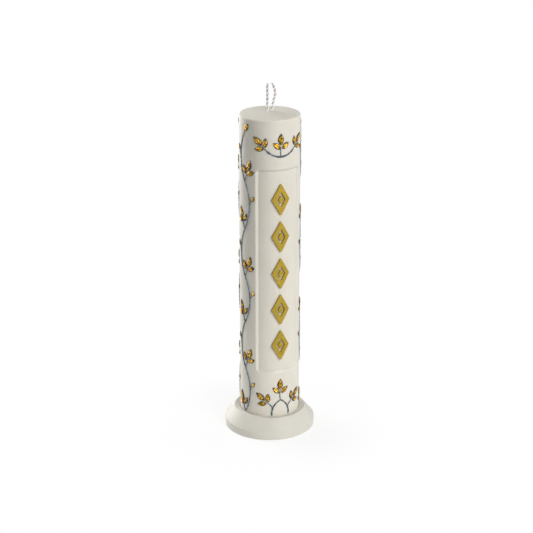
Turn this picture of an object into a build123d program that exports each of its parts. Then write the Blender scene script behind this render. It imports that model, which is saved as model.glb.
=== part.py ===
"""Pillar candle with two wicks, standing in the socket of a turned round base.

The frame has +Z up and its origin at the centre of the base's underside. The sunken panel faces -Y.
The candle, with its wicks and everything laid on its surface, lifts straight up out of the base.
All sizes are in millimetres and all angles in degrees.
"""

import os
from math import asin, atan2, cos, degrees, hypot, pi, radians, sin

from build123d import *

# Candle: a poured pillar with a low dome on top, its length measured to the dome's edge
candle_diameter = 45.0
candle_length = 240.0
top_edge_radius = 1.2
top_dome_rise = 1.4
foot_chamfer = 1.0

# Base: a disc with a socket, a crest round the socket's mouth, a sloping shoulder and an upright side
base_floor = 6.0
socket_depth = 8.4
socket_clearance = 0.3
crest_rise = 0.6
crest_offset = 4.0
shoulder_width = 7.4
side_height = 6.3
base_foot_radius = 0.8
shoulder_radius = 4.0
crest_radius = 2.5
mouth_radius = 1.0

# Sunken panel in the front of the candle, measured at its rim, with a bevel all round above a small step
panel_width = 33.9
panel_foot_gap = 43.9
panel_top_gap = 36.4
panel_depth = 1.3
panel_step = 0.1
panel_bevel_width = 1.7
panel_corner_radius = 1.6
panel_rim_radius = 0.6

# Gilt lozenges on the panel's floor, each an open frame around a stud
lozenge_count = 5
lozenge_width = 13.6
lozenge_spacing = 4.0
lozenge_margin = 10.5
lozenge_stroke = 3.0
lozenge_gap = 1.2
lozenge_relief = 1.8
lozenge_corner_radius = 0.6
lozenge_edge_radius = 0.4

# Wicks: twisted cotton, held along the candle and free above its dome. The right one leans out and curls back
wick_diameter = 2.3
wick_spacing = 3.6
wick_clearance = 0.05
wick_left_free = 20.6
wick_lean = 3.1
wick_lean_start = 3.0
wick_lean_end = 14.6
wick_curl = 3.0
wick_curl_rise = 6.0
wick_start_radius = 25.0
wick_curl_radius = 8.0

# Sustainer: a thin tinplate disc with a collar round both wicks, in a pocket under the candle
sustainer_diameter = 20.0
sustainer_thickness = 0.4
sustainer_collar_height = 7.0
sustainer_wall = 0.4
sustainer_clearance = 0.05

# Vines: raised wavy stems that climb the candle, with a twig of leaves below each bend and a bud at it
vine_count = 5
vine_bends = 6
vine_foot_gap = 0.7
vine_top_gap = 10.0
vine_margin = 0.6
vine_sway = 5.2
stem_width = 1.3
stem_relief = 0.5
twig_length = 8.0
twig_rise = 70.0
twig_width = 0.9
bud_twig_length = 3.6
bud_twig_rise = 64.0

# Leaves: pointed, three to a twig, with a groove along the midrib
leaf_length = 9.0
leaf_width = 4.6
side_leaf_length = 7.2
side_leaf_width = 4.0
side_leaf_spread = 47.0
side_leaf_setback = 2.6
side_leaf_offset = 0.9
bud_length = 4.6
bud_width = 2.8
leaf_gap = 0.2
leaf_relief = 0.9
groove_share = 0.8
groove_width = 0.7
groove_depth = 0.3

# Sprays: a swag above the panel and a lyre below it
swag_half_width = 10.6
swag_drop = 5.0
swag_twig_length = 4.0
lyre_half_width = 6.5
lyre_bow = 2.6
lyre_top_gap = 4.9
lyre_side_rise = 46.0

# Places worked out from the sizes above
candle_radius = candle_diameter / 2
candle_foot = base_floor
candle_top = candle_foot + candle_length
wick_exit = candle_top + top_dome_rise
socket_radius = candle_radius + socket_clearance
socket_mouth = base_floor + socket_depth
crest_place = socket_radius + crest_offset
base_radius = crest_place + shoulder_width
base_height = socket_mouth + crest_rise
panel_floor_radius = candle_radius - panel_depth
panel_half_angle = degrees(asin(panel_width / 2 / candle_radius))
panel_floor_half_angle = panel_half_angle - degrees(panel_bevel_width / candle_radius)
panel_bottom = candle_foot + panel_foot_gap
panel_top = candle_top - panel_top_gap
panel_floor_bottom = panel_bottom + panel_bevel_width
panel_floor_height = panel_top - panel_bevel_width - panel_floor_bottom
lozenge_column = panel_top - panel_bottom - 2 * lozenge_margin
lozenge_pitch = (lozenge_column + lozenge_spacing) / lozenge_count
lozenge_height = lozenge_pitch - lozenge_spacing
wick_radius = wick_diameter / 2
wick_places = [(-wick_spacing / 2, 0), (wick_spacing / 2, 0)]
collar_width = wick_diameter + 2 * (wick_clearance + sustainer_wall)
vine_bottom = socket_mouth + vine_foot_gap
vine_top = candle_top - vine_top_gap
vine_half_wave = (vine_top - vine_bottom) / vine_bends
leafy_twig_length = twig_length + leaf_gap + leaf_length
cutter_reach = candle_radius + panel_depth + leaf_relief


def radial_plane(azimuth):
    """The upright plane through the candle's axis whose X points outwards, azimuth degrees from the front."""
    turn = radians(azimuth)
    outwards = (sin(turn), -cos(turn), 0)
    sideways = (-cos(turn), -sin(turn), 0)
    return Plane((0, 0, 0), x_dir=outwards, z_dir=sideways)


def front_plane(place, rise):
    """A plane that faces the front, with its origin at place (across, up) and its X turned up by rise."""
    turn = radians(rise)
    return Plane((place[0], 0, place[1]), x_dir=(cos(turn), 0, sin(turn)), z_dir=(0, -1, 0))


def along(place, rise, length, aside=0.0):
    """The point that lies length from place in the direction rise, and aside to the left of that line."""
    turn = radians(rise)
    across = place[0] + length * cos(turn) - aside * sin(turn)
    up = place[1] + length * sin(turn) + aside * cos(turn)
    return (across, up)


def angle_across(across):
    """The angle about the candle's axis of a point on its surface that lies across from the front's middle."""
    return degrees(asin(across / candle_radius))


def rise_on_surface(rise, angle):
    """The direction, on the candle's surface at an angle from the front, of a line seen at rise in front."""
    return degrees(atan2(sin(radians(rise)), cos(radians(rise)) / cos(radians(angle))))


def tube(inner_radius, thickness, bottom, top):
    """A tube round the candle's axis, which gives a raised piece its curve and its relief."""
    with BuildPart() as shell:
        with BuildSketch(Plane.XY.offset(bottom)):
            Circle(inner_radius + thickness)
            Circle(inner_radius, mode=Mode.SUBTRACT)
        extrude(amount=top - bottom)
    return shell.part


def placed(part, angle, up, mirrored=False):
    """A copy of a part from the front of the candle, turned about the candle's axis and lifted."""
    shape = mirror(part, about=Plane.YZ, mode=Mode.PRIVATE) if mirrored else part
    return shape.moved(Location((0, 0, up), (0, 0, angle)))


def save(part, name):
    """Labels a finished piece and writes it to its own file."""
    part.label = name
    export_step(part, f"parts/{name}.step")
    print(f"{name}: {len(part.solids())} solids, {part.volume:.1f} mm3")


os.makedirs("parts", exist_ok=True)

# Base
with BuildPart() as base:
    with BuildSketch(Plane.XZ) as base_section:
        with BuildLine():
            Polyline(
                (0, 0),
                (base_radius, 0),
                (base_radius, side_height),
                (crest_place, base_height),
                (socket_radius, socket_mouth),
                (socket_radius, base_floor),
                (0, base_floor),
                close=True,
            )
        make_face()
        corners = base_section.vertices()
        outer_corners = corners.group_by(Axis.X)[-1].sort_by(Axis.Y)
        crest_corner = corners.sort_by(Axis.Y)[-1]
        mouth_corner = corners.sort_by_distance((socket_radius, socket_mouth))[0]
        fillet(outer_corners[0], base_foot_radius)
        fillet(outer_corners[1], shoulder_radius)
        fillet(crest_corner, crest_radius)
        fillet(mouth_corner, mouth_radius)
    revolve(axis=Axis.Z)
save(base.part, "base")

# Candle body: the pillar
with BuildPart() as candle_body:
    with BuildSketch(Plane.XZ) as pillar_section:
        with BuildLine():
            dome_edge = (candle_radius, candle_top)
            dome_middle = (0, wick_exit)
            Polyline(
                dome_middle,
                (0, candle_foot),
                (candle_radius - foot_chamfer, candle_foot),
                (candle_radius, candle_foot + foot_chamfer),
                dome_edge,
            )
            TangentArc(dome_middle, dome_edge, tangent=(1, 0))
        make_face()
        top_corner = pillar_section.vertices().sort_by_distance(dome_edge)[0]
        fillet(top_corner, top_edge_radius)
    revolve(axis=Axis.Z)

    # Its sunken panel, with rounded corners, a bevel and a softened rim
    with BuildSketch(radial_plane(-panel_floor_half_angle)):
        with Locations((panel_floor_radius, panel_floor_bottom)):
            Rectangle(2 * panel_depth, panel_floor_height, align=Align.MIN)
    revolve(axis=Axis.Z, revolution_arc=2 * panel_floor_half_angle, mode=Mode.SUBTRACT)
    panel_edges = candle_body.edges(Select.LAST)
    fillet(panel_edges.group_by(SortBy.LENGTH)[0], panel_corner_radius)
    outside = candle_body.faces().filter_by(GeomType.CYLINDER).sort_by(SortBy.AREA)[-1]
    panel_rim = outside.inner_wires()[0].edges()
    chamfer(panel_rim, panel_bevel_width, panel_depth - panel_step, reference=outside)
    outside = candle_body.faces().filter_by(GeomType.CYLINDER).sort_by(SortBy.AREA)[-1]
    fillet(outside.inner_wires()[0].edges(), panel_rim_radius)

    # The bores that the wicks are cast in, and the sustainer's pocket
    with BuildSketch(Plane.XY.offset(candle_foot)):
        with Locations(*wick_places):
            Circle(wick_radius + wick_clearance)
    extrude(amount=wick_exit - candle_foot, mode=Mode.SUBTRACT)
    with BuildSketch(Plane.XY.offset(candle_foot)):
        Circle(sustainer_diameter / 2 + sustainer_clearance)
    extrude(amount=sustainer_thickness + sustainer_clearance, mode=Mode.SUBTRACT)
    with BuildSketch(Plane.XY.offset(candle_foot)):
        SlotCenterToCenter(wick_spacing, collar_width + 2 * sustainer_clearance)
    extrude(amount=sustainer_collar_height + sustainer_clearance, mode=Mode.SUBTRACT)
save(candle_body.part, "candle_body")

# Wick sustainer
with BuildPart() as wick_sustainer:
    with BuildSketch(Plane.XY.offset(candle_foot)):
        Circle(sustainer_diameter / 2)
    extrude(amount=sustainer_thickness)
    with BuildSketch(Plane.XY.offset(candle_foot)):
        SlotCenterToCenter(wick_spacing, collar_width)
    extrude(amount=sustainer_collar_height)
    with BuildSketch(Plane.XY.offset(candle_foot)):
        with Locations(*wick_places):
            Circle(wick_radius + wick_clearance)
    extrude(amount=sustainer_collar_height, mode=Mode.SUBTRACT)
save(wick_sustainer.part, "wick_sustainer")

# Left wick: straight
with BuildPart() as wick_left:
    with BuildSketch(Plane.XY.offset(candle_foot)):
        with Locations(wick_places[0]):
            Circle(wick_radius)
    extrude(amount=wick_exit + wick_left_free - candle_foot)
save(wick_left.part, "wick_left")

# Right wick: straight through the wax, then out and back
with BuildPart() as wick_right:
    with BuildLine() as wick_path:
        wick_across = wick_places[1][0]
        wick_bend = wick_exit + wick_lean_end
        FilletPolyline(
            (wick_across, 0, candle_foot),
            (wick_across, 0, wick_exit + wick_lean_start),
            (wick_across + wick_lean, 0, wick_bend),
            (wick_across + wick_lean - wick_curl, 0, wick_bend + wick_curl_rise),
            radius=[wick_start_radius, wick_curl_radius],
        )
    with BuildSketch(Plane.XY.offset(candle_foot)):
        with Locations(wick_places[1]):
            Circle(wick_radius)
    sweep()
wick_share = wick_right.part.volume / (pi * wick_radius**2 * wick_path.wires()[0].length)
print(f"wick_right: volume is {wick_share:.4f} of section times length")
save(wick_right.part, "wick_right")


def rhombus(inset):
    """The corners of the lozenge's outline around the origin, with its sides moved inwards by inset."""
    half_width = lozenge_width / 2
    half_height = lozenge_height / 2
    inner_circle = half_width * half_height / hypot(half_width, half_height)
    share = 1 - inset / inner_circle
    across = half_width * share
    up = half_height * share
    return [(-across, 0), (0, -up), (across, 0), (0, up)]


# Lozenge and stud at height 0, curved like the panel's floor, with softened front edges
lozenge_shell = tube(panel_floor_radius, lozenge_relief, -lozenge_height, lozenge_height)
with BuildPart() as lozenge:
    with BuildSketch(Plane.XZ) as frame_outline:
        with BuildLine():
            Polyline(*rhombus(0), close=True)
        make_face()
        with BuildLine():
            Polyline(*rhombus(lozenge_stroke), close=True)
        make_face(mode=Mode.SUBTRACT)
        fillet(frame_outline.vertices(), lozenge_corner_radius)
    extrude(amount=cutter_reach)
    add(lozenge_shell, mode=Mode.INTERSECT)
    front_face = lozenge.faces().filter_by(GeomType.CYLINDER).sort_by(SortBy.AREA)[-1]
    fillet(front_face.edges(), lozenge_edge_radius)
with BuildPart() as stud:
    with BuildSketch(Plane.XZ) as stud_outline:
        with BuildLine():
            Polyline(*rhombus(lozenge_stroke + lozenge_gap), close=True)
        make_face()
        fillet(stud_outline.vertices(), lozenge_corner_radius)
    extrude(amount=cutter_reach)
    add(lozenge_shell, mode=Mode.INTERSECT)
    front_face = stud.faces().filter_by(GeomType.CYLINDER).sort_by(SortBy.AREA)[-1]
    fillet(front_face.edges(), lozenge_edge_radius)

# Spread evenly along the panel, the first at the top
first_lozenge = panel_top - lozenge_margin - lozenge_height / 2
for index in range(lozenge_count):
    height = first_lozenge - index * lozenge_pitch
    save(placed(lozenge.part, 0, height), f"panel_lozenge_{index + 1}")
    save(placed(stud.part, 0, height), f"panel_stud_{index + 1}")


def leaf_outline(place, rise, length, width):
    """A pointed leaf as seen from the front, from its foot at place in the direction rise."""
    with BuildSketch(front_plane(place, rise)) as outline:
        with BuildLine():
            ThreePointArc((0, 0), (length / 2, width / 2), (length, 0))
            ThreePointArc((length, 0), (length / 2, -width / 2), (0, 0))
        make_face()
    return outline.sketch


def leaf_set(leaves):
    """Raised leaves on the front of the candle, from a list of (place of the foot, rise, length, width)."""
    reach = max(hypot(*place) + length for place, rise, length, width in leaves)
    with BuildPart() as grooves:
        for place, rise, length, width in leaves:
            groove_foot = along(place, rise, (1 - groove_share) / 2 * length)
            groove = leaf_outline(groove_foot, rise, groove_share * length, groove_width)
            extrude(groove, amount=cutter_reach)
        groove_floor = candle_radius + leaf_relief - groove_depth
        add(tube(groove_floor, leaf_relief, -reach, reach), mode=Mode.INTERSECT)
    with BuildPart() as blades:
        for place, rise, length, width in leaves:
            extrude(leaf_outline(place, rise, length, width), amount=cutter_reach)
        add(tube(candle_radius, leaf_relief, -reach, reach), mode=Mode.INTERSECT)
        add(grooves.part, mode=Mode.SUBTRACT)
    return blades.part


def single_leaf(rise, length, width):
    """The leaf of a stem that ends at the front of the candle, at height 0, in the direction rise."""
    return leaf_set([(along((0, 0), rise, leaf_gap), rise, length, width)])


def side_leaf_foot(rise, side):
    """The foot of a side leaf, on the left of its twig for a side of 1 and on the right for -1."""
    return along((0, 0), rise, -side_leaf_setback, side * side_leaf_offset)


def three_leaves(rise):
    """The leaves of a twig that ends at the front of the candle, at height 0, in the direction rise."""
    leaves = [(along((0, 0), rise, leaf_gap), rise, leaf_length, leaf_width)]
    for side in (1, -1):
        turned = rise + side * side_leaf_spread
        leaves.append((side_leaf_foot(rise, side), turned, side_leaf_length, side_leaf_width))
    return leaf_set(leaves)


def stroke(width, *points):
    """A line of even width as seen from the front: straight through two points, or an arc through three."""
    with BuildSketch(Plane.XZ) as outline:
        with BuildLine():
            if len(points) == 2:
                Line(*points)
            else:
                ThreePointArc(*points)
        trace(line_width=width)
    return outline.sketch


def raised_stem(strokes, leaves):
    """A stem on the front of the candle, from its strokes. It runs under any leaf that crosses it."""
    with BuildPart() as stem:
        for line in strokes:
            extrude(line, amount=cutter_reach)
        add(tube(candle_radius, stem_relief, candle_foot, candle_top), mode=Mode.INTERSECT)
        add(leaves, mode=Mode.SUBTRACT)
    return stem.part


# Front vine, which the others repeat. Bends go right and left in turn, and each twig grows into its bend
twig_direction = 180 - twig_rise
twig_tip = along((0, 0), twig_direction, twig_length)
bud_tip = along((vine_sway, 0), bud_twig_rise, bud_twig_length)
vine_end_rise = 90 - degrees(2 * atan2(vine_sway, vine_half_wave / 2))
twig_leaves = three_leaves(twig_direction)
bud = single_leaf(bud_twig_rise, bud_length, bud_width)
end_leaf = single_leaf(vine_end_rise, side_leaf_length, side_leaf_width)
vine_strokes = []
vine_growth = []
for bend in range(vine_bends):
    side = 1 if bend % 2 == 0 else -1
    foot = vine_bottom + bend * vine_half_wave
    middle = foot + vine_half_wave / 2
    crest = (side * vine_sway, middle)
    leaves_place = (side * twig_tip[0], foot + twig_tip[1])
    bud_place = (side * bud_tip[0], middle + bud_tip[1])
    vine_strokes.append(stroke(stem_width, (0, foot), crest, (0, foot + vine_half_wave)))
    vine_strokes.append(stroke(twig_width, (0, foot), leaves_place))
    vine_strokes.append(stroke(twig_width, crest, bud_place))
    vine_growth.append((twig_leaves, leaves_place, side < 0))
    vine_growth.append((bud, bud_place, side < 0))
vine_growth.append((end_leaf, (0, vine_top), side > 0))
with BuildPart() as front_leaves:
    for growth, place, mirrored in vine_growth:
        add(placed(growth, angle_across(place[0]), place[1], mirrored))
front_stem = raised_stem(vine_strokes, front_leaves.part)

# Vines spread evenly from the panel's right side round to its left, the outer ones clear of its rim
outer_leaf_foot = side_leaf_foot(twig_direction, 1)
outer_leaf_tip = along(outer_leaf_foot, twig_direction + side_leaf_spread, side_leaf_length)
leaf_reach = abs(twig_tip[0] + outer_leaf_tip[0])
bud_reach = along(bud_tip, bud_twig_rise, leaf_gap + bud_length)[0]
vine_half_angle = angle_across(max(leaf_reach, bud_reach)) + degrees(vine_margin / candle_radius)
first_vine = panel_half_angle + vine_half_angle
vine_step = (360 - 2 * first_vine) / (vine_count - 1)
for index in range(vine_count):
    angle = first_vine + index * vine_step
    save(placed(front_stem, angle, 0), f"vine_stem_{index + 1}")
    save(placed(front_leaves.part, angle, 0), f"vine_leaves_{index + 1}")

# Swag midway above the panel: a hanging stem, with leaves upright at its middle and at both ends
swag_middle = (0, (panel_top + candle_top - leafy_twig_length) / 2)
swag_tip = along(swag_middle, 90, twig_length)
swag_end = (swag_half_width, swag_middle[1] + swag_drop)
swag_end_rise = degrees(2 * atan2(swag_drop, swag_half_width))
swag_end_tip = along(swag_end, swag_end_rise, swag_twig_length)
swag_end_angle = angle_across(swag_end_tip[0])
upright_leaves = three_leaves(90)
end_leaves = three_leaves(rise_on_surface(swag_end_rise, swag_end_angle))
with BuildPart() as swag_leaves:
    add(placed(upright_leaves, 0, swag_tip[1]))
    add(placed(end_leaves, swag_end_angle, swag_end_tip[1]))
    add(placed(end_leaves, -swag_end_angle, swag_end_tip[1], mirrored=True))
save(swag_leaves.part, "swag_leaves")
swag_strokes = [stroke(twig_width, swag_middle, swag_tip)]
swag_strokes.append(stroke(stem_width, (-swag_end[0], swag_end[1]), swag_middle, swag_end))
for side in (1, -1):
    end = (side * swag_end[0], swag_end[1])
    swag_strokes.append(stroke(twig_width, end, (side * swag_end_tip[0], swag_end_tip[1])))
save(raised_stem(swag_strokes, swag_leaves.part), "swag_stem")

# Lyre below the panel: two bowed stems that meet under upright leaves, with a twig beside each
lyre_top = (0, panel_bottom - lyre_top_gap - leafy_twig_length)
lyre_tip = along(lyre_top, 90, twig_length)
lyre_middle = (lyre_half_width / 2 + lyre_bow, (vine_bottom + lyre_top[1]) / 2)
lyre_side_tip = along(lyre_middle, lyre_side_rise, twig_length)
lyre_side_angle = angle_across(lyre_side_tip[0])
side_leaves = three_leaves(rise_on_surface(lyre_side_rise, lyre_side_angle))
with BuildPart() as lyre_leaves:
    add(placed(upright_leaves, 0, lyre_tip[1]))
    add(placed(side_leaves, lyre_side_angle, lyre_side_tip[1]))
    add(placed(side_leaves, -lyre_side_angle, lyre_side_tip[1], mirrored=True))
save(lyre_leaves.part, "lyre_leaves")
lyre_strokes = [stroke(twig_width, lyre_top, lyre_tip)]
for side in (1, -1):
    foot = (side * lyre_half_width, vine_bottom)
    middle = (side * lyre_middle[0], lyre_middle[1])
    lyre_strokes.append(stroke(stem_width, foot, middle, lyre_top))
    lyre_strokes.append(stroke(twig_width, middle, (side * lyre_side_tip[0], lyre_side_tip[1])))
save(raised_stem(lyre_strokes, lyre_leaves.part), "lyre_stem")
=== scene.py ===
"""Looks of a pillar candle with two wicks, raised gilt trim and a round base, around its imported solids.

Every place is in metres, in the frame of the solids: +Z up, the sunken panel facing -Y.
"""

from bisect import bisect
from math import asin, atan2, cos, degrees, exp, hypot, pi, radians, sin, sqrt, tau

import bmesh
import bpy
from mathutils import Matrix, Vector


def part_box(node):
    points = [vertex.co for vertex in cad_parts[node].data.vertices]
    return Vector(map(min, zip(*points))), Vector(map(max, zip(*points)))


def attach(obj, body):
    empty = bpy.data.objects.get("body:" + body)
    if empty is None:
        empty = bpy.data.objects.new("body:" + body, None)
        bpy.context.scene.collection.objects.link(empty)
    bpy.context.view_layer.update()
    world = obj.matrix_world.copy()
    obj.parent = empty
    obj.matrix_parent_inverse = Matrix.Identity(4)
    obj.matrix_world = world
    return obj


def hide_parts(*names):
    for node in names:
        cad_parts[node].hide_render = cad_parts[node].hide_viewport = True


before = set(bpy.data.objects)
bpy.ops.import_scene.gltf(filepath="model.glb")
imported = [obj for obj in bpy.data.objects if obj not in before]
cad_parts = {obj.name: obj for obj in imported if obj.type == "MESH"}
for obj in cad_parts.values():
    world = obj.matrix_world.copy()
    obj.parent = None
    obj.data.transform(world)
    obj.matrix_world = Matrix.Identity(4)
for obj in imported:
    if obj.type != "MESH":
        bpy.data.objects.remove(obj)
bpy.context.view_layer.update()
MM = 0.001

# Camera: a long lens from the left of the front and a little above
CAMERA_AZIMUTH = -21.4
CAMERA_ELEVATION = 19.95
CAMERA_DISTANCE = 1198.8 * MM
CAMERA_LENS = 107.95
CAMERA_AIM_HEIGHT = 127.7 * MM
CAMERA_AIM_ASIDE = -2.32 * MM

# The Mix node's sockets for colours, which share their names with its other sockets
MIX_SHARE, MIX_FIRST, MIX_SECOND, MIX_RESULT = 0, 6, 7, 2

# The candle, read from the frame
candle_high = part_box("candle_body")[1]
candle_radius = candle_high.x
wick_exit = candle_high.z
TOP_DOME_RISE = 1.4 * MM
candle_top = wick_exit - TOP_DOME_RISE

# Wicks: routes in millimetres, as in the solids. The left one wavers by a hair, and the right one has a point
# more on each side of its first bend
WICK_ROUTES = {
    "wick_left": [
        (-1.8, 0.0, 6.0), (-1.8, 0.0, 240.0), (-1.85, 0.0, 250.0), (-1.75, 0.05, 260.0), (-1.8, 0.0, 268.0),
    ],
    "wick_right": [
        (1.8, 0.0, 6.0), (1.8, 0.0, 243.8), (1.8, 0.0, 250.4), (3.4, 0.0, 256.4), (4.9, 0.0, 262.0),
        (1.9, 0.0, 268.0),
    ],
}
ROUTE_STEPS = 40
WICK_DIAMETER = 2.3 * MM
WICK_PITCH = 6.2 * MM
WICK_RINGS_PER_TURN = 14
YARNS_PER_PLY = 5
POINTS_PER_YARN = 3
FRAY_LENGTH = 2.2 * MM
FRAY_FIBRES = 7
FRAY_STEPS = 4
GOLDEN_TURN = radians(137.5)

# Vines, swag and lyre, laid out as in the solids
PANEL_WIDTH = 33.9 * MM
PANEL_BOTTOM = 49.9 * MM
PANEL_TOP = 209.6 * MM
VINE_COUNT = 5
VINE_BENDS = 6
VINE_BOTTOM = 15.1 * MM
VINE_TOP = candle_top - 10.0 * MM
VINE_MARGIN = 0.6 * MM
VINE_SWAY = 5.2 * MM
STEM_WIDTH = 1.3 * MM
STEM_RELIEF = 0.62 * MM
TWIG_LENGTH = 8.0 * MM
TWIG_RISE = 70.0
TWIG_WIDTH = 0.9 * MM
BUD_TWIG_LENGTH = 3.6 * MM
BUD_TWIG_RISE = 64.0
LEAF_LENGTH = 9.0 * MM
LEAF_WIDTH = 4.6 * MM
SIDE_LEAF_LENGTH = 7.2 * MM
SIDE_LEAF_WIDTH = 4.0 * MM
SIDE_LEAF_SPREAD = 47.0
SIDE_LEAF_SETBACK = 2.6 * MM
SIDE_LEAF_OFFSET = 0.9 * MM
BUD_LENGTH = 4.6 * MM
BUD_WIDTH = 2.8 * MM
LEAF_GAP = 0.2 * MM
LEAF_RELIEF = 1.0 * MM
SWAG_HALF_WIDTH = 10.6 * MM
SWAG_DROP = 5.0 * MM
SWAG_TWIG_LENGTH = 4.0 * MM
LYRE_HALF_WIDTH = 6.5 * MM
LYRE_BOW = 2.6 * MM
LYRE_TOP_GAP = 4.9 * MM
LYRE_SIDE_RISE = 46.0

# How the raised trim is finished here. Tapers, bows and bends are shares of a piece's width or length
VINE_TAPER = 0.3
TWIG_TAPER = 0.35
LYRE_TAPER = 0.2
TWIG_BOW = 0.06
LEAF_BEND = 0.03
SIDE_LEAF_BEND = 0.05
BUD_RIB = 0.25
BUD_VEINS = 3
SKIRT = 0.15 * MM
WELD = 0.02 * MM
CREASE = 50.0

# Steps of the trim's meshes
VINE_STEPS = 260
SWAG_STEPS = 60
LYRE_STEPS = 40
TWIG_STEPS = 18
SWAG_TWIG_STEPS = 12
BUD_TWIG_STEPS = 10
STEM_STEPS_ACROSS = 6
LEAF_STEPS = 18
LEAF_STEPS_ACROSS = 12


def towards(azimuth, elevation):
    """The direction from the object to what stands at an azimuth from its front and at an elevation."""
    turn = radians(azimuth)
    tilt = radians(elevation)
    return Vector((sin(turn) * cos(tilt), -cos(turn) * cos(tilt), sin(tilt)))


def add_camera():
    """The camera, at the photograph's angle and framing."""
    back = towards(CAMERA_AZIMUTH, CAMERA_ELEVATION)
    right = towards(CAMERA_AZIMUTH + 90, 0)
    aim = Vector((0, 0, CAMERA_AIM_HEIGHT)) + right * CAMERA_AIM_ASIDE
    lens = bpy.data.cameras.new("camera")
    lens.lens = CAMERA_LENS
    camera = bpy.data.objects.new("camera", lens)
    camera.location = aim + back * CAMERA_DISTANCE
    camera.rotation_euler = back.to_track_quat("Z", "Y").to_euler()
    bpy.context.scene.collection.objects.link(camera)
    bpy.context.scene.camera = camera


def linear(hex_colour):
    """An sRGB hex colour as linear RGBA."""
    channels = []
    for start in (1, 3, 5):
        value = int(hex_colour[start:start + 2], 16) / 255
        channels.append(value / 12.92 if value <= 0.04045 else ((value + 0.055) / 1.055) ** 2.4)
    return (*channels, 1.0)


def add_node(tree, kind, inputs=None, **settings):
    """Adds a node with its settings, and gives its inputs values or links."""
    node = tree.nodes.new(kind)
    for name, value in settings.items():
        setattr(node, name, value)
    for socket, value in (inputs or {}).items():
        if isinstance(value, bpy.types.NodeSocket):
            tree.links.new(value, node.inputs[socket])
        else:
            node.inputs[socket].default_value = value
    return node


def new_material(name):
    """An empty node material: its tree and its output."""
    material = bpy.data.materials.new(name)
    material.use_nodes = True
    material.node_tree.nodes.clear()
    output = add_node(material.node_tree, "ShaderNodeOutputMaterial")
    return material, material.node_tree, output


def poured_wax():
    """Poured ivory wax: satin on its side, from the mould, and duller on top. Light sinks in a little."""
    cloud_size = 22 * MM
    grain_size = 0.9 * MM
    wave_size = 9 * MM
    rim_height = 1 * MM
    material, tree, output = new_material("poured_ivory_wax")
    place = add_node(tree, "ShaderNodeTexCoord").outputs["Object"]
    cloud = add_node(tree, "ShaderNodeTexNoise", {"Vector": place, "Scale": 1 / cloud_size, "Detail": 3.0})
    grain = add_node(tree, "ShaderNodeTexNoise", {"Vector": place, "Scale": 1 / grain_size, "Detail": 2.0})
    wave = add_node(tree, "ShaderNodeTexNoise", {"Vector": place, "Scale": 1 / wave_size, "Detail": 1.0})
    colour = add_node(tree, "ShaderNodeMix", {
        MIX_SHARE: cloud.outputs[0], MIX_FIRST: linear("#DBD6C9"), MIX_SECOND: linear("#E5E1D6"),
    }, data_type="RGBA").outputs[MIX_RESULT]
    sheen = add_node(tree, "ShaderNodeMapRange", {
        "Value": grain.outputs[0], "From Min": 0.3, "From Max": 0.7, "To Min": 0.34, "To Max": 0.44,
    })
    height = add_node(tree, "ShaderNodeSeparateXYZ", {"Vector": place}).outputs["Z"]
    duller = add_node(tree, "ShaderNodeMapRange", {
        "Value": height, "From Min": candle_top - rim_height, "From Max": candle_top,
        "To Min": 0.0, "To Max": 0.25,
    })
    roughness = add_node(tree, "ShaderNodeMath", {0: sheen.outputs[0], 1: duller.outputs[0]}, operation="ADD")
    slow = add_node(tree, "ShaderNodeBump", {
        "Height": wave.outputs[0], "Strength": 0.25, "Distance": 0.08 * MM,
    })
    fine = add_node(tree, "ShaderNodeBump", {
        "Height": grain.outputs[0], "Strength": 0.3, "Distance": 0.02 * MM, "Normal": slow.outputs[0],
    })
    wax = add_node(tree, "ShaderNodeBsdfPrincipled", {
        "Base Color": colour, "Roughness": roughness.outputs[0], "IOR": 1.44, "Normal": fine.outputs[0],
        "Subsurface Weight": 0.35, "Subsurface Radius": (1.0, 0.8, 0.55), "Subsurface Scale": 3 * MM,
    })
    tree.links.new(wax.outputs[0], output.inputs[0])
    return material


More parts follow.
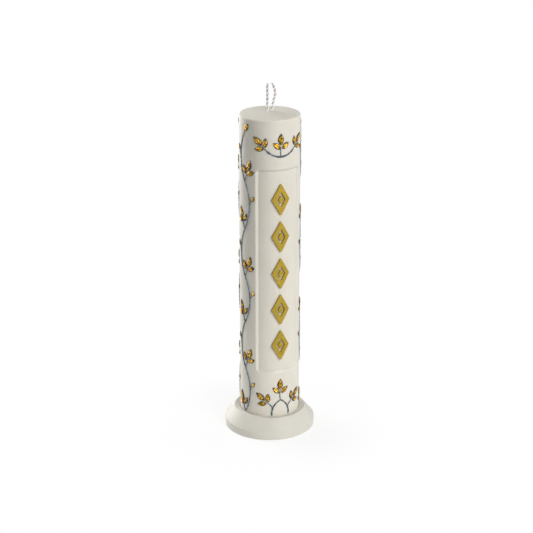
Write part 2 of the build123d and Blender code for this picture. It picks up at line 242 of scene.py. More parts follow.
def turned_stone():
    """Cast stone turned on a lathe and rubbed to a satin: faint rings run round it, with soft clouds."""
    # A lathe's lines are finer than this and wouldn't show
    ring_width = 0.8 * MM
    cloud_size = 14 * MM
    material, tree, output = new_material("turned_white_stone")
    place = add_node(tree, "ShaderNodeTexCoord").outputs["Object"]
    split = add_node(tree, "ShaderNodeSeparateXYZ", {"Vector": place})
    flat = add_node(tree, "ShaderNodeCombineXYZ", {"X": split.outputs["X"], "Y": split.outputs["Y"]})
    radius = add_node(tree, "ShaderNodeVectorMath", {0: flat.outputs[0]}, operation="LENGTH")
    across = add_node(tree, "ShaderNodeCombineXYZ", {"X": radius.outputs["Value"], "Y": split.outputs["Z"]})
    rings = add_node(tree, "ShaderNodeTexNoise", {
        "Vector": across.outputs[0], "Scale": 1 / ring_width, "Detail": 3.0,
    })
    cloud = add_node(tree, "ShaderNodeTexNoise", {"Vector": place, "Scale": 1 / cloud_size, "Detail": 4.0})
    body = add_node(tree, "ShaderNodeMix", {
        MIX_SHARE: cloud.outputs[0], MIX_FIRST: linear("#D3CFC3"), MIX_SECOND: linear("#DFDCD3"),
    }, data_type="RGBA").outputs[MIX_RESULT]
    streak = add_node(tree, "ShaderNodeMapRange", {
        "Value": rings.outputs[0], "From Min": 0.35, "From Max": 0.7, "To Min": 0.0, "To Max": 0.22,
    })
    colour = add_node(tree, "ShaderNodeMix", {
        MIX_SHARE: streak.outputs[0], MIX_FIRST: body, MIX_SECOND: linear("#C7C2B5"),
    }, data_type="RGBA").outputs[MIX_RESULT]
    sheen = add_node(tree, "ShaderNodeMapRange", {
        "Value": rings.outputs[0], "From Min": 0.3, "From Max": 0.7, "To Min": 0.4, "To Max": 0.52,
    })
    bump = add_node(tree, "ShaderNodeBump", {
        "Height": rings.outputs[0], "Strength": 0.35, "Distance": 0.03 * MM,
    })
    stone = add_node(tree, "ShaderNodeBsdfPrincipled", {
        "Base Color": colour, "Roughness": sheen.outputs[0], "IOR": 1.4, "Normal": bump.outputs[0],
        "Subsurface Weight": 0.1, "Subsurface Radius": (1.0, 0.85, 0.65), "Subsurface Scale": 2 * MM,
    })
    tree.links.new(stone.outputs[0], output.inputs[0])
    return material


def gilt_paint():
    """Gold bronze paint brushed sideways on raised wax: a soft metal sheen, olive in its thin places."""
    # Bristle marks and bronze flakes are finer than these and wouldn't show
    brush_size = 0.8 * MM
    brush_reach = 6.0
    grain_size = 0.5 * MM
    material, tree, output = new_material("brushed_gilt_paint")
    place = add_node(tree, "ShaderNodeTexCoord").outputs["Object"]
    sideways = add_node(tree, "ShaderNodeMapping", {"Vector": place, "Scale": (1 / brush_reach, 1.0, 1.0)})
    strokes = add_node(tree, "ShaderNodeTexNoise", {
        "Vector": sideways.outputs[0], "Scale": 1 / brush_size, "Detail": 2.0,
    })
    grain = add_node(tree, "ShaderNodeTexNoise", {"Vector": place, "Scale": 1 / grain_size, "Detail": 2.0})
    cover = add_node(tree, "ShaderNodeMapRange", {
        "Value": strokes.outputs[0], "From Min": 0.15, "From Max": 0.85,
    })
    colour = add_node(tree, "ShaderNodeMix", {
        MIX_SHARE: cover.outputs[0], MIX_FIRST: linear("#907803"), MIX_SECOND: linear("#C2A53A"),
    }, data_type="RGBA").outputs[MIX_RESULT]
    sheen = add_node(tree, "ShaderNodeMapRange", {
        "Value": grain.outputs[0], "From Min": 0.3, "From Max": 0.7, "To Min": 0.32, "To Max": 0.5,
    })
    bump = add_node(tree, "ShaderNodeBump", {
        "Height": strokes.outputs[0], "Strength": 0.25, "Distance": 0.03 * MM,
    })
    gilt = add_node(tree, "ShaderNodeBsdfPrincipled", {
        "Base Color": colour, "Roughness": sheen.outputs[0], "Metallic": 0.45, "Normal": bump.outputs[0],
    })
    tree.links.new(gilt.outputs[0], output.inputs[0])
    return material


def leaf_gilt_with_painted_light():
    """Burnished leaf gilding with painted shade, near-black brown, in its hollows and veins, and a painted
    highlight, pale gold, on its swells.
    """
    fleck_size = 1.5 * MM
    fleck_reach = 1.6
    material, tree, output = new_material("leaf_gilt_painted_shade_and_highlight")
    place = add_node(tree, "ShaderNodeTexCoord").outputs["Object"]
    height = add_node(tree, "ShaderNodeAttribute", attribute_name="swell").outputs["Fac"]
    flecks = add_node(tree, "ShaderNodeTexNoise", {"Vector": place, "Scale": 1 / fleck_size, "Detail": 3.0})
    uneven = add_node(tree, "ShaderNodeMath", {
        0: flecks.outputs[0], 1: fleck_reach, 2: -fleck_reach / 2,
    }, operation="MULTIPLY_ADD")
    level = add_node(tree, "ShaderNodeMath", {0: height, 1: uneven.outputs[0]}, operation="ADD")
    # Painted shade: near-black brown where the leaf lies low, in its hollows, veins and rims
    painted_shade = add_node(tree, "ShaderNodeMapRange", {
        "Value": level.outputs[0], "From Min": 0.48, "From Max": 0.72,
    })
    # Painted highlight: pale gold where the leaf swells highest
    painted_highlight = add_node(tree, "ShaderNodeMapRange", {
        "Value": level.outputs[0], "From Min": 0.78, "From Max": 1.02,
    })
    gold = add_node(tree, "ShaderNodeMix", {
        MIX_SHARE: painted_highlight.outputs[0], MIX_FIRST: linear("#C29204"), MIX_SECOND: linear("#FFD482"),
    }, data_type="RGBA").outputs[MIX_RESULT]
    colour = add_node(tree, "ShaderNodeMix", {
        MIX_SHARE: painted_shade.outputs[0], MIX_FIRST: linear("#1E1204"), MIX_SECOND: gold,
    }, data_type="RGBA").outputs[MIX_RESULT]
    metal = add_node(tree, "ShaderNodeMapRange", {"Value": painted_shade.outputs[0], "To Min": 0.1, "To Max": 1.0})
    sheen = add_node(tree, "ShaderNodeMapRange", {
        "Value": level.outputs[0], "From Min": 0.1, "From Max": 1.0, "To Min": 0.5, "To Max": 0.24,
    })
    bump = add_node(tree, "ShaderNodeBump", {
        "Height": flecks.outputs[0], "Strength": 0.7, "Distance": 0.4 * MM,
    })
    gilt = add_node(tree, "ShaderNodeBsdfPrincipled", {
        "Base Color": colour, "Roughness": sheen.outputs[0], "Metallic": metal.outputs[0],
        "Normal": bump.outputs[0],
    })
    tree.links.new(gilt.outputs[0], output.inputs[0])
    return material


def slate_paint():
    """Slate-blue paint on raised wax: dark along the middle, rubbed paler at the edges and in patches."""
    patch_size = 4 * MM
    # The paint's own grain is finer than this and wouldn't show
    grain_size = 0.5 * MM
    material, tree, output = new_material("slate_blue_paint")
    place = add_node(tree, "ShaderNodeTexCoord").outputs["Object"]
    height = add_node(tree, "ShaderNodeAttribute", attribute_name="swell").outputs["Fac"]
    patches = add_node(tree, "ShaderNodeTexNoise", {"Vector": place, "Scale": 1 / patch_size, "Detail": 3.0})
    grain = add_node(tree, "ShaderNodeTexNoise", {"Vector": place, "Scale": 1 / grain_size, "Detail": 2.0})
    worn = add_node(tree, "ShaderNodeMapRange", {
        "Value": patches.outputs[0], "From Min": 0.46, "From Max": 0.68,
    })
    body = add_node(tree, "ShaderNodeMix", {
        MIX_SHARE: worn.outputs[0], MIX_FIRST: linear("#252D34"), MIX_SECOND: linear("#77838F"),
    }, data_type="RGBA").outputs[MIX_RESULT]
    middle = add_node(tree, "ShaderNodeMapRange", {"Value": height, "From Min": 0.1, "From Max": 0.6})
    colour = add_node(tree, "ShaderNodeMix", {
        MIX_SHARE: middle.outputs[0], MIX_FIRST: linear("#8C98A1"), MIX_SECOND: body,
    }, data_type="RGBA").outputs[MIX_RESULT]
    bump = add_node(tree, "ShaderNodeBump", {
        "Height": grain.outputs[0], "Strength": 0.4, "Distance": 0.06 * MM,
    })
    paint = add_node(tree, "ShaderNodeBsdfPrincipled", {
        "Base Color": colour, "Roughness": 0.45, "IOR": 1.5, "Normal": bump.outputs[0],
    })
    tree.links.new(paint.outputs[0], output.inputs[0])
    return material


def twisted_cotton():
    """Undyed cotton yarn, twisted: matt and fibrous, with painted shade, grey, in the grooves between the
    plies.
    """
    # Cotton's fibres are far finer than this and wouldn't show
    fibre_size = 0.25 * MM
    material, tree, output = new_material("twisted_cotton")
    place = add_node(tree, "ShaderNodeTexCoord").outputs["Object"]
    fibres = add_node(tree, "ShaderNodeTexNoise", {"Vector": place, "Scale": 1 / fibre_size, "Detail": 2.0})
    yarn = add_node(tree, "ShaderNodeMix", {
        MIX_SHARE: fibres.outputs[0], MIX_FIRST: linear("#E2E0DC"), MIX_SECOND: linear("#FAF9F7"),
    }, data_type="RGBA").outputs[MIX_RESULT]
    height = add_node(tree, "ShaderNodeAttribute", attribute_name="swell").outputs["Fac"]
    # Painted shade: grey near the wick's middle, in the grooves between the plies
    painted_groove_shade = add_node(tree, "ShaderNodeMapRange", {"Value": height, "From Min": 0.4, "From Max": 0.8})
    colour = add_node(tree, "ShaderNodeMix", {
        MIX_SHARE: painted_groove_shade.outputs[0], MIX_FIRST: linear("#BAB9BB"), MIX_SECOND: yarn,
    }, data_type="RGBA").outputs[MIX_RESULT]
    bump = add_node(tree, "ShaderNodeBump", {
        "Height": fibres.outputs[0], "Strength": 0.6, "Distance": 0.05 * MM,
    })
    cotton = add_node(tree, "ShaderNodeBsdfPrincipled", {
        "Base Color": colour, "Roughness": 0.9, "Normal": bump.outputs[0], "Sheen Weight": 0.3,
        "Subsurface Weight": 0.15, "Subsurface Scale": 0.5 * MM,
    })
    tree.links.new(cotton.outputs[0], output.inputs[0])
    return material


def tinplate():
    """Bright tinplate, pressed from rolled sheet: a grey mirror with fine rolling lines along X."""
    line_width = 0.12 * MM
    line_stretch = 0.03
    material, tree, output = new_material("rolled_tinplate")
    place = add_node(tree, "ShaderNodeTexCoord").outputs["Object"]
    stretched = add_node(tree, "ShaderNodeMapping", {"Vector": place, "Scale": (line_stretch, 1.0, 1.0)})
    lines = add_node(tree, "ShaderNodeTexNoise", {
        "Vector": stretched.outputs[0], "Scale": 1 / line_width, "Detail": 2.0,
    })
    colour = add_node(tree, "ShaderNodeMix", {
        MIX_SHARE: lines.outputs[0], MIX_FIRST: linear("#A9ABAD"), MIX_SECOND: linear("#C9CBCC"),
    }, data_type="RGBA").outputs[MIX_RESULT]
    sheen = add_node(tree, "ShaderNodeMapRange", {"Value": lines.outputs[0], "To Min": 0.2, "To Max": 0.4})
    tin = add_node(tree, "ShaderNodeBsdfPrincipled", {
        "Base Color": colour, "Roughness": sheen.outputs[0], "Metallic": 1.0,
    })
    tree.links.new(tin.outputs[0], output.inputs[0])
    return material


def dress(node_name, material):
    """Gives a CAD node its material."""
    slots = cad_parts[node_name].data.materials
    slots.clear()
    slots.append(material)


def finish_piece(mesh, name, material, replaced):
    """Makes a mesh a piece of the candle that stands for the named nodes."""
    mesh.name = name
    mesh.materials.clear()
    mesh.materials.append(material)
    piece = bpy.data.objects.new(name, mesh)
    bpy.context.scene.collection.objects.link(piece)
    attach(piece, "candle")
    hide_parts(*replaced)


def along(place, rise, length, aside=0.0):
    """The point that lies length from place in the direction rise, and aside to the left of that line."""
    turn = radians(rise)
    across = place[0] + length * cos(turn) - aside * sin(turn)
    up = place[1] + length * sin(turn) + aside * cos(turn)
    return (across, up)


def angle_across(across):
    """The angle about the candle's axis of a point of its surface that lies across from the front."""
    return degrees(asin(across / candle_radius))


def rise_on_surface(rise, angle):
    """The direction, on the candle's surface at an angle from the front, of a line seen at rise in front."""
    return degrees(atan2(sin(radians(rise)), cos(radians(rise)) / cos(radians(angle))))


def relief_patch(bm, steps_along, steps_across, shape, angle, up):
    """Adds a raised patch on the wax, whose sides go down into it. shape(share, cross) gives the place across
    and up and the height of a point of a grid, with share from 0 to 1 along it and cross from -1 to 1. Its
    attribute swell is the height over a leaf's whole relief, for the materials."""
    swell = bm.verts.layers.float.get("swell") or bm.verts.layers.float.new("swell")
    grid = bmesh.ops.create_grid(bm, x_segments=steps_along, y_segments=steps_across, size=1.0)["verts"]
    rim = {edge for vert in grid for edge in vert.link_edges if edge.is_boundary}
    extruded = bmesh.ops.extrude_edge_only(bm, edges=list(rim))["geom"]
    skirt = [item for item in extruded if isinstance(item, bmesh.types.BMVert)]
    for verts, sunk in ((grid, False), (skirt, True)):
        for vert in verts:
            across, lift, height = shape((vert.co.x + 1) / 2, vert.co.y)
            vert[swell] = 0.0 if sunk else height / LEAF_RELIEF
            turn = radians(angle) + asin(across / candle_radius)
            radius = candle_radius + (-SKIRT if sunk else height)
            vert.co = (radius * sin(turn), -radius * cos(turn), up + lift)
    floor_rim = {edge for vert in skirt for edge in vert.link_edges if edge.is_boundary}
    bmesh.ops.holes_fill(bm, edges=list(floor_rim), sides=0)
    bmesh.ops.remove_doubles(bm, verts=grid + skirt, dist=WELD)


def add_leaf(bm, place, rise, length, width, angle, up, mirrored, bend, rib=0.5, veins=5):
    """A pointed gilt leaf: two swelling halves with a sunken midrib between them and slanting side veins."""
    side = -1 if mirrored else 1
    roundness = 0.85
    foot_fullness = 1.12
    tip_thinning = 0.24
    edge_height = 0.15
    rib_width = 0.2
    vein_slant = 1.1
    vein_depth = 0.28
    vein_width = 0.16

    def shape(share, cross):
        arch = sin(pi * share)
        half = width / 2 * arch ** roundness * (foot_fullness - tip_thinning * share)
        line = along(place, rise, length * share, bend * length * arch + half * cross)
        ends = sqrt(arch) if 0 < share < 1 else 0
        dome = 1 - cross * cross
        groove = rib * exp(-((cross / rib_width) ** 2))
        slant = (share * veins - vein_slant * abs(cross)) % 1
        vein = vein_depth * exp(-(((slant - 0.5) / vein_width) ** 2)) * dome
        swelling = ends * max(0.0, dome - groove - vein)
        height = LEAF_RELIEF * (edge_height + (1 - edge_height) * swelling)
        return side * line[0], line[1], height

    relief_patch(bm, LEAF_STEPS, LEAF_STEPS_ACROSS, shape, angle, up)


def add_stem(bm, path, width, steps, angle, up, taper=0.0, mirrored=False):
    """A half-round painted stem along a path, a little uneven, that thins towards its end by taper."""
    side = -1 if mirrored else 1
    nudge = 0.004
    end_width = 0.25
    end_growth = 30
    roundness = 0.9
    # Waves of its thickness, in radians to the metre
    long_wave = 1900
    long_swell = 0.12
    short_wave = 4700
    short_swell = 0.08
    short_start = 1.3

    def shape(share, cross):
        before = path(max(0.0, share - nudge))
        after = path(min(1.0, share + nudge))
        across, lift = path(share)
        reach = hypot(after[0] - before[0], after[1] - before[1])
        normal = (-(after[1] - before[1]) / reach, (after[0] - before[0]) / reach)
        ends = min(1.0, end_growth * share + end_width, end_growth * (1 - share) + end_width)
        uneven = 1 + long_swell * sin(lift * long_wave) + short_swell * sin(lift * short_wave + short_start)
        half = width / 2 * ends * uneven * (1 - taper * share)
        dome = sqrt(max(0.0, 1 - roundness * cross * cross))
        height = STEM_RELIEF * uneven * (1 - taper / 2 * share) * dome
        return side * (across + normal[0] * half * cross), lift + normal[1] * half * cross, height

    relief_patch(bm, steps, STEM_STEPS_ACROSS, shape, angle, up)


def straight(start, end, bow=TWIG_BOW):
    """A path from start to end that bows a little to its left."""
    def path(share):
        swing = bow * sin(pi * share)
        across = start[0] + (end[0] - start[0]) * share - (end[1] - start[1]) * swing
        lift = start[1] + (end[1] - start[1]) * share + (end[0] - start[0]) * swing
        return across, lift
    return path


def arc_through(start, middle, end):
    """The path of the circle's arc through three points."""
    ax, ay = middle[0] - start[0], middle[1] - start[1]
    bx, by = end[0] - start[0], end[1] - start[1]
    cross = 2 * (ax * by - ay * bx)
    cx = (by * (ax * ax + ay * ay) - ay * (bx * bx + by * by)) / cross
    cy = (ax * (bx * bx + by * by) - bx * (ax * ax + ay * ay)) / cross
    radius = hypot(cx, cy)
    first = atan2(-cy, -cx)
    sweep = (atan2(by - cy, bx - cx) - first) % tau
    if (atan2(ay - cy, ax - cx) - first) % tau > sweep:
        sweep -= tau

    def path(share):
        turn = first + sweep * share
        return start[0] + cx + radius * cos(turn), start[1] + cy + radius * sin(turn)
    return path


def side_leaf_foot(rise, side):
    """The foot of a side leaf, on the left of its twig for a side of 1 and on the right for -1."""
    return along((0, 0), rise, -SIDE_LEAF_SETBACK, side * SIDE_LEAF_OFFSET)


def add_three_leaves(bm, rise, angle, up, mirrored=False):
    """The leaves of a twig that ends at this angle and height, in the direction rise."""
    for side in (1, -1):
        foot = side_leaf_foot(rise, side)
        turned = rise + side * SIDE_LEAF_SPREAD
        bend = -SIDE_LEAF_BEND * side
        add_leaf(bm, foot, turned, SIDE_LEAF_LENGTH, SIDE_LEAF_WIDTH, angle, up, mirrored, bend)
    foot = along((0, 0), rise, LEAF_GAP)
    add_leaf(bm, foot, rise, LEAF_LENGTH, LEAF_WIDTH, angle, up, mirrored, LEAF_BEND)


def mesh_of(bm):
    """The finished mesh of a bmesh, closed, smooth, with its faces outwards and its edges crisp."""
    bmesh.ops.recalc_face_normals(bm, faces=bm.faces)
    for face in bm.faces:
        face.smooth = True
    mesh = bpy.data.meshes.new("relief")
    bm.to_mesh(mesh)
    bm.free()
    mesh.set_sharp_from_angle(angle=radians(CREASE))
    return mesh


def finish_relief(bm, node_name, material):
    """Makes a relief the piece that stands for its node."""
    finish_piece(mesh_of(bm), f"{node_name}_relief", material, [node_name])


def vine_layout():
    """The front vine: its half wave, and for each bend its side, foot and crest."""
    half_wave = (VINE_TOP - VINE_BOTTOM) / VINE_BENDS
    bends = []
    for bend in range(VINE_BENDS):
        side = 1 if bend % 2 == 0 else -1
        foot = VINE_BOTTOM + bend * half_wave
        bends.append((side, foot, foot + half_wave / 2))
    return half_wave, bends


def vine_angles():
    """The vines' angles about the candle, from the panel's right side round to its left."""
    direction = 180 - TWIG_RISE
    tip = along((0, 0), direction, TWIG_LENGTH)
    outer = along(side_leaf_foot(direction, 1), direction + SIDE_LEAF_SPREAD, SIDE_LEAF_LENGTH)
    bud = along((VINE_SWAY, 0), BUD_TWIG_RISE, BUD_TWIG_LENGTH + LEAF_GAP + BUD_LENGTH)
    reach = max(abs(tip[0] + outer[0]), bud[0])
    first = angle_across(PANEL_WIDTH / 2) + angle_across(reach) + degrees(VINE_MARGIN / candle_radius)
    return [first + index * (360 - 2 * first) / (VINE_COUNT - 1) for index in range(VINE_COUNT)]


def vine_path(half_wave, bends):
    """The path of a vine's whole stem, bend after bend."""
    arcs = []
    for side, foot, middle in bends:
        arcs.append(arc_through((0, foot), (side * VINE_SWAY, middle), (0, foot + half_wave)))

    def path(share):
        bend = min(int(share * VINE_BENDS), VINE_BENDS - 1)
        return arcs[bend](share * VINE_BENDS - bend)
    return path


def add_vines(paint, gilt):
    """The five vines: painted stems and twigs, gilt leaves and buds."""
    half_wave, bends = vine_layout()
    whole_stem = vine_path(half_wave, bends)
    direction = 180 - TWIG_RISE
    twig_tip = along((0, 0), direction, TWIG_LENGTH)
    twig = straight((0, 0), twig_tip)
    bud_tip = along((VINE_SWAY, 0), BUD_TWIG_RISE, BUD_TWIG_LENGTH)
    bud_twig = straight((VINE_SWAY, 0), bud_tip)
    bud_foot = along((0, 0), BUD_TWIG_RISE, LEAF_GAP)
    end_rise = 90 - degrees(2 * atan2(VINE_SWAY, half_wave / 2))
    end_foot = along((0, 0), end_rise, LEAF_GAP)
    end_mirrored = bends[-1][0] > 0
    for number, angle in enumerate(vine_angles(), start=1):
        stem = bmesh.new()
        leaves = bmesh.new()
        add_stem(stem, whole_stem, STEM_WIDTH, VINE_STEPS, angle, 0, VINE_TAPER)
        for side, foot, middle in bends:
            mirrored = side < 0
            add_stem(stem, twig, TWIG_WIDTH, TWIG_STEPS, angle, foot, TWIG_TAPER, mirrored)
            add_stem(stem, bud_twig, TWIG_WIDTH, BUD_TWIG_STEPS, angle, middle, TWIG_TAPER, mirrored)
            leaf_angle = angle + side * angle_across(twig_tip[0])
            bud_angle = angle + side * angle_across(bud_tip[0])
            add_three_leaves(leaves, direction, leaf_angle, foot + twig_tip[1], mirrored)
            add_leaf(
                leaves, bud_foot, BUD_TWIG_RISE, BUD_LENGTH, BUD_WIDTH, bud_angle, middle + bud_tip[1],
                mirrored, bend=0.0, rib=BUD_RIB, veins=BUD_VEINS,
            )
        add_leaf(
            leaves, end_foot, end_rise, SIDE_LEAF_LENGTH, SIDE_LEAF_WIDTH, angle, VINE_TOP,
            end_mirrored, LEAF_BEND,
        )
        finish_relief(stem, f"vine_stem_{number}", paint)
        finish_relief(leaves, f"vine_leaves_{number}", gilt)


def add_swag(paint, gilt):
    """The swag above the panel: a hanging stem with leaves upright at its middle and at both ends."""
    reach = TWIG_LENGTH + LEAF_GAP + LEAF_LENGTH
    middle = (0, (PANEL_TOP + candle_top - reach) / 2)
    middle_twig = straight(middle, along(middle, 90, TWIG_LENGTH))
    end = (SWAG_HALF_WIDTH, middle[1] + SWAG_DROP)
    end_rise = degrees(2 * atan2(SWAG_DROP, SWAG_HALF_WIDTH))
    end_tip = along(end, end_rise, SWAG_TWIG_LENGTH)
    end_twig = straight(end, end_tip, bow=0)
    end_angle = angle_across(end_tip[0])
    surface_rise = rise_on_surface(end_rise, end_angle)
    stem = bmesh.new()
    leaves = bmesh.new()
    add_stem(stem, arc_through((-end[0], end[1]), middle, end), STEM_WIDTH, SWAG_STEPS, 0, 0)
    add_stem(stem, middle_twig, TWIG_WIDTH, TWIG_STEPS, 0, 0, TWIG_TAPER)
    add_three_leaves(leaves, 90, 0, middle[1] + TWIG_LENGTH)
    for mirrored in (False, True):
        side = -1 if mirrored else 1
        add_stem(stem, end_twig, TWIG_WIDTH, SWAG_TWIG_STEPS, 0, 0, TWIG_TAPER, mirrored)
        add_three_leaves(leaves, surface_rise, side * end_angle, end_tip[1], mirrored)
    finish_relief(stem, "swag_stem", paint)
    finish_relief(leaves, "swag_leaves", gilt)


def add_lyre(paint, gilt):
    """The lyre below the panel: two bowed stems that meet under upright leaves, with a twig beside each."""
    top = (0, PANEL_BOTTOM - LYRE_TOP_GAP - TWIG_LENGTH - LEAF_GAP - LEAF_LENGTH)
    top_twig = straight(top, along(top, 90, TWIG_LENGTH))
    foot = (LYRE_HALF_WIDTH, VINE_BOTTOM)
    middle = (LYRE_HALF_WIDTH / 2 + LYRE_BOW, (VINE_BOTTOM + top[1]) / 2)
    bow = arc_through(foot, middle, top)
    side_tip = along(middle, LYRE_SIDE_RISE, TWIG_LENGTH)
    side_twig = straight(middle, side_tip)
    side_angle = angle_across(side_tip[0])
    surface_rise = rise_on_surface(LYRE_SIDE_RISE, side_angle)
    stem = bmesh.new()
    leaves = bmesh.new()
    add_stem(stem, top_twig, TWIG_WIDTH, TWIG_STEPS, 0, 0, TWIG_TAPER)
    add_three_leaves(leaves, 90, 0, top[1] + TWIG_LENGTH)
    for mirrored in (False, True):
        side = -1 if mirrored else 1
        add_stem(stem, bow, STEM_WIDTH, LYRE_STEPS, 0, 0, LYRE_TAPER, mirrored)
        add_stem(stem, side_twig, TWIG_WIDTH, TWIG_STEPS, 0, 0, TWIG_TAPER, mirrored)
        add_three_leaves(leaves, surface_rise, side * side_angle, side_tip[1], mirrored)
    finish_relief(stem, "lyre_stem", paint)
    finish_relief(leaves, "lyre_leaves", gilt)


def curve_mesh(curve):
    """The mesh that a curve gives, with the curve removed."""
    holder = bpy.data.objects.new("holder", curve)
    bpy.context.scene.collection.objects.link(holder)
    bpy.context.view_layer.update()
    graph = bpy.context.evaluated_depsgraph_get()
    mesh = bpy.data.meshes.new_from_object(holder.evaluated_get(graph), depsgraph=graph)
    bpy.data.objects.remove(holder)
    bpy.data.curves.remove(curve)
    return mesh


def route_line(route):
    """Points along a route's smooth line, read from its NURBS spline, and each one's way from the start."""
    curve = bpy.data.curves.new("route", "CURVE")
    curve.dimensions = "3D"
    spline = curve.splines.new("NURBS")
    spline.points.add(len(route) - 1)
    for point, place in zip(spline.points, route):
        point.co = (*[value * MM for value in place], 1.0)
    spline.order_u = 3
    spline.use_endpoint_u = True
    spline.resolution_u = ROUTE_STEPS
    mesh = curve_mesh(curve)
    points = [vert.co.copy() for vert in mesh.vertices]
    bpy.data.meshes.remove(mesh)
    distances = [0.0]
    for before, after in zip(points, points[1:]):
        distances.append(distances[-1] + (after - before).length)
    return points, distances


def point_on(line, distance):
    """The point of a line at a distance from its start."""
    points, distances = line
    for index in range(len(points) - 1):
        if distance <= distances[index + 1]:
            share = (distance - distances[index]) / (distances[index + 1] - distances[index])
            return points[index].lerp(points[index + 1], share)
    return points[-1]


def yarn_section(radius):
    """A closed curve across a ply: yarns side by side, so that its outline has lobes."""
    lobe = 0.1
    curve = bpy.data.curves.new("yarn_section", "CURVE")
    spline = curve.splines.new("POLY")
    count = POINTS_PER_YARN * YARNS_PER_PLY
    spline.points.add(count - 1)
    for index, point in enumerate(spline.points):
        turn = tau * index / count
        reach = radius * (1 - lobe + lobe * cos(YARNS_PER_PLY * turn))
        point.co = (reach * cos(turn), reach * sin(turn), 0, 1)
    spline.use_cyclic_u = True
    holder = bpy.data.objects.new("yarn_section", curve)
    bpy.context.scene.collection.objects.link(holder)
    return holder


def place_at_height(points, heights, height):
    """The point of a rising line at a height."""
    index = min(max(bisect(heights, height), 1), len(points) - 1)
    share = (height - heights[index - 1]) / (heights[index] - heights[index - 1])
    return points[index - 1].lerp(points[index], min(max(share, 0.0), 1.0))


def add_wick(name, route, cotton):
    """A wick of two plies twisted round each other, each of several yarns, with fibres loose at its tip."""
    yarn_twist = -2.2
    tip_share = 0.55
    fibre_start = 0.4
    fibre_spread = 1.2
    fibre_curl = 1.5
    fibre_thickness = 0.2
    fibre_thinning = 0.12
    line = route_line(route)
    length = line[1][-1]
    ply_radius = WICK_DIAMETER / 4
    rings = int(length / WICK_PITCH * WICK_RINGS_PER_TURN)
    section = yarn_section(ply_radius)
    curve = bpy.data.curves.new("plies", "CURVE")
    curve.dimensions = "3D"
    curve.bevel_mode = "OBJECT"
    curve.bevel_object = section
    curve.use_fill_caps = True
    for ply in range(2):
        spline = curve.splines.new("POLY")
        spline.points.add(rings)
        for index, point in enumerate(spline.points):
            distance = length * index / rings
            turn = tau * (distance / WICK_PITCH + ply / 2)
            away = Vector((cos(turn), sin(turn), 0)) * ply_radius
            point.co = (*(point_on(line, distance) + away), 1.0)
            point.tilt = yarn_twist * turn
            point.radius = tip_share + (1 - tip_share) * min(1.0, (length - distance) / FRAY_LENGTH)
    for fibre in range(FRAY_FIBRES):
        turn = fibre * GOLDEN_TURN
        spline = curve.splines.new("POLY")
        spline.points.add(FRAY_STEPS)
        for index, point in enumerate(spline.points):
            share = index / FRAY_STEPS
            reach = ply_radius * (fibre_start + fibre_spread * share ** fibre_curl)
            away = Vector((cos(turn), sin(turn), 0)) * reach
            point.co = (*(point_on(line, length - FRAY_LENGTH * (1 - share)) + away), 1.0)
            point.radius = fibre_thickness - fibre_thinning * share
    mesh = curve_mesh(curve)
    heights = [point.z for point in line[0]]
    # swell: a point's distance from the wick's middle, which places the cotton's painted groove shade
    swell = mesh.attributes.new("swell", "FLOAT", "POINT")
    for vert, item in zip(mesh.vertices, swell.data):
        item.value = (vert.co - place_at_height(line[0], heights, vert.co.z)).length / (2 * ply_radius)
    section_curve = section.data
    bpy.data.objects.remove(section)
    bpy.data.curves.remove(section_curve)
    for polygon in mesh.polygons:
        polygon.use_smooth = True
    finish_piece(mesh, f"{name}_twist", cotton, [name])


def add_wick_wax(name, aside, wax):
    """The small rise of wax that holds a wick where it leaves the candle's dome."""
    foot_radius = 2.6 * MM
    rise = 0.5 * MM
    sunk = 1.2 * MM
    lap = 0.05 * MM
    hollow = 2.2
    steps = 8
    steps_round = 32
    weld = 0.01 * MM
    bm = bmesh.new()
    floor_height = wick_exit - lap
    profile = [bm.verts.new((aside, 0, floor_height - sunk))]
    for index in range(steps + 1):
        share = index / steps
        radius = foot_radius * (1 - share)
        height = floor_height + rise * share ** hollow
        profile.append(bm.verts.new((aside + radius, 0, height)))
    edges = [bm.edges.new(pair) for pair in zip(profile, profile[1:])]
    bmesh.ops.spin(
        bm, geom=profile + edges, cent=(aside, 0, 0), axis=(0, 0, 1), angle=tau, steps=steps_round,
        use_merge=True,
    )
    bmesh.ops.remove_doubles(bm, verts=bm.verts, dist=weld)
    finish_piece(mesh_of(bm), f"{name}_wax", wax, [])


def rays_that_see(tree):
    """1 for a ray from the camera, off gloss or through glass, which sees a white background, or else 0."""
    ray = add_node(tree, "ShaderNodeLightPath").outputs
    seen = ray["Is Camera Ray"]
    for kind in ("Is Glossy Ray", "Is Transmission Ray"):
        seen = add_node(tree, "ShaderNodeMath", {0: seen, 1: ray[kind]}, operation="MAXIMUM").outputs[0]
    return seen


def add_floor():
    """A pale floor that the camera sees as white, with the object's soft shadow round its foot."""
    half = 250 * MM
    near = 40 * MM
    far = 110 * MM
    white_share_near = 0.85
    bm = bmesh.new()
    bmesh.ops.create_grid(bm, x_segments=1, y_segments=1, size=half)
    mesh = bpy.data.meshes.new("floor")
    bm.to_mesh(mesh)
    bm.free()
    floor = bpy.data.objects.new("floor", mesh)
    bpy.context.scene.collection.objects.link(floor)
    material, tree, output = new_material("white_floor")
    seen = rays_that_see(tree)
    place = add_node(tree, "ShaderNodeTexCoord").outputs["Object"]
    reach = add_node(tree, "ShaderNodeVectorMath", {0: place}, operation="LENGTH")
    clear = add_node(tree, "ShaderNodeMapRange", {
        "Value": reach.outputs["Value"], "From Min": near, "From Max": far,
        "To Min": white_share_near, "To Max": 1.0,
    }, interpolation_type="SMOOTHSTEP")
    share = add_node(tree, "ShaderNodeMath", {0: seen, 1: clear.outputs[0]}, operation="MULTIPLY")
    matt = add_node(tree, "ShaderNodeBsdfDiffuse", {"Color": linear("#FBFBFA")})
    white = add_node(tree, "ShaderNodeEmission", {"Color": linear("#FFFFFF"), "Strength": 1.0})
    mix = add_node(tree, "ShaderNodeMixShader", {
        0: share.outputs[0], 1: matt.outputs[0], 2: white.outputs[0],
    })
    tree.links.new(mix.outputs[0], output.inputs[0])
    mesh.materials.append(material)


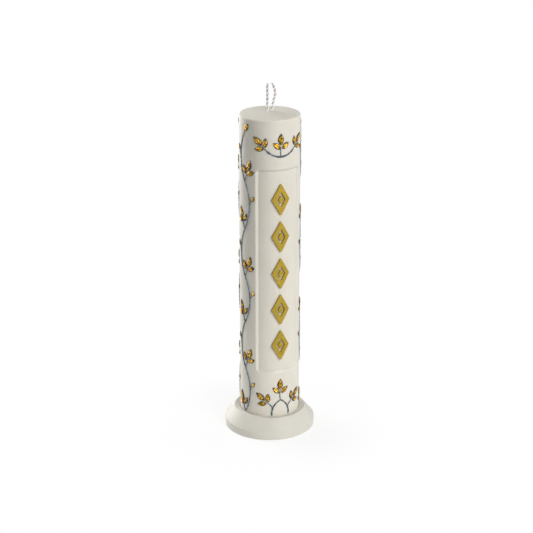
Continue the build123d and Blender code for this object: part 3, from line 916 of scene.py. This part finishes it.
def add_world():
    """Even studio light from all round, and white where the camera looks past the floor."""
    studio_level = 0.07
    world = bpy.data.worlds.new("studio")
    world.use_nodes = True
    tree = world.node_tree
    tree.nodes.clear()
    seen = rays_that_see(tree)
    level = add_node(tree, "ShaderNodeMapRange", {"Value": seen, "To Min": studio_level, "To Max": 1.0})
    light = add_node(tree, "ShaderNodeBackground", {"Color": linear("#FFFFFF"), "Strength": level.outputs[0]})
    output = add_node(tree, "ShaderNodeOutputWorld")
    tree.links.new(light.outputs[0], output.inputs[0])
    bpy.context.scene.world = world


def add_softbox(name, aside, elevation, distance, width, height, power):
    """A softbox aimed at the candle's middle, turned aside degrees from the camera."""
    back = towards(CAMERA_AZIMUTH + aside, elevation)
    lamp = bpy.data.lights.new(name, "AREA")
    lamp.shape = "RECTANGLE"
    lamp.size = width
    lamp.size_y = height
    lamp.energy = power
    softbox = bpy.data.objects.new(name, lamp)
    softbox.location = Vector((0, 0, CAMERA_AIM_HEIGHT)) + back * distance
    softbox.rotation_euler = back.to_track_quat("Z", "Y").to_euler()
    bpy.context.scene.collection.objects.link(softbox)


add_camera()
add_world()
add_floor()
add_softbox("key_softbox", aside=36, elevation=27, distance=1.0, width=0.6, height=0.8, power=9.4)
add_softbox("left_softbox", aside=-130, elevation=20, distance=0.9, width=0.8, height=1.0, power=10.7)
add_softbox("right_softbox", aside=120, elevation=15, distance=0.9, width=0.35, height=1.0, power=1.3)

wax = poured_wax()
gilt_trim = gilt_paint()
leaf_gilt = leaf_gilt_with_painted_light()
paint = slate_paint()
cotton = twisted_cotton()
dress("base", turned_stone())
dress("candle_body", wax)
dress("wick_sustainer", tinplate())
for node_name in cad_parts:
    if node_name.startswith("panel_"):
        dress(node_name, gilt_trim)
for wick_name, wick_route in WICK_ROUTES.items():
    add_wick(wick_name, wick_route, cotton)
    add_wick_wax(wick_name, wick_route[0][0] * MM, wax)
add_vines(paint, leaf_gilt)
add_swag(paint, leaf_gilt)
add_lyre(paint, leaf_gilt)

bpy.context.scene.view_settings.view_transform = "Standard"
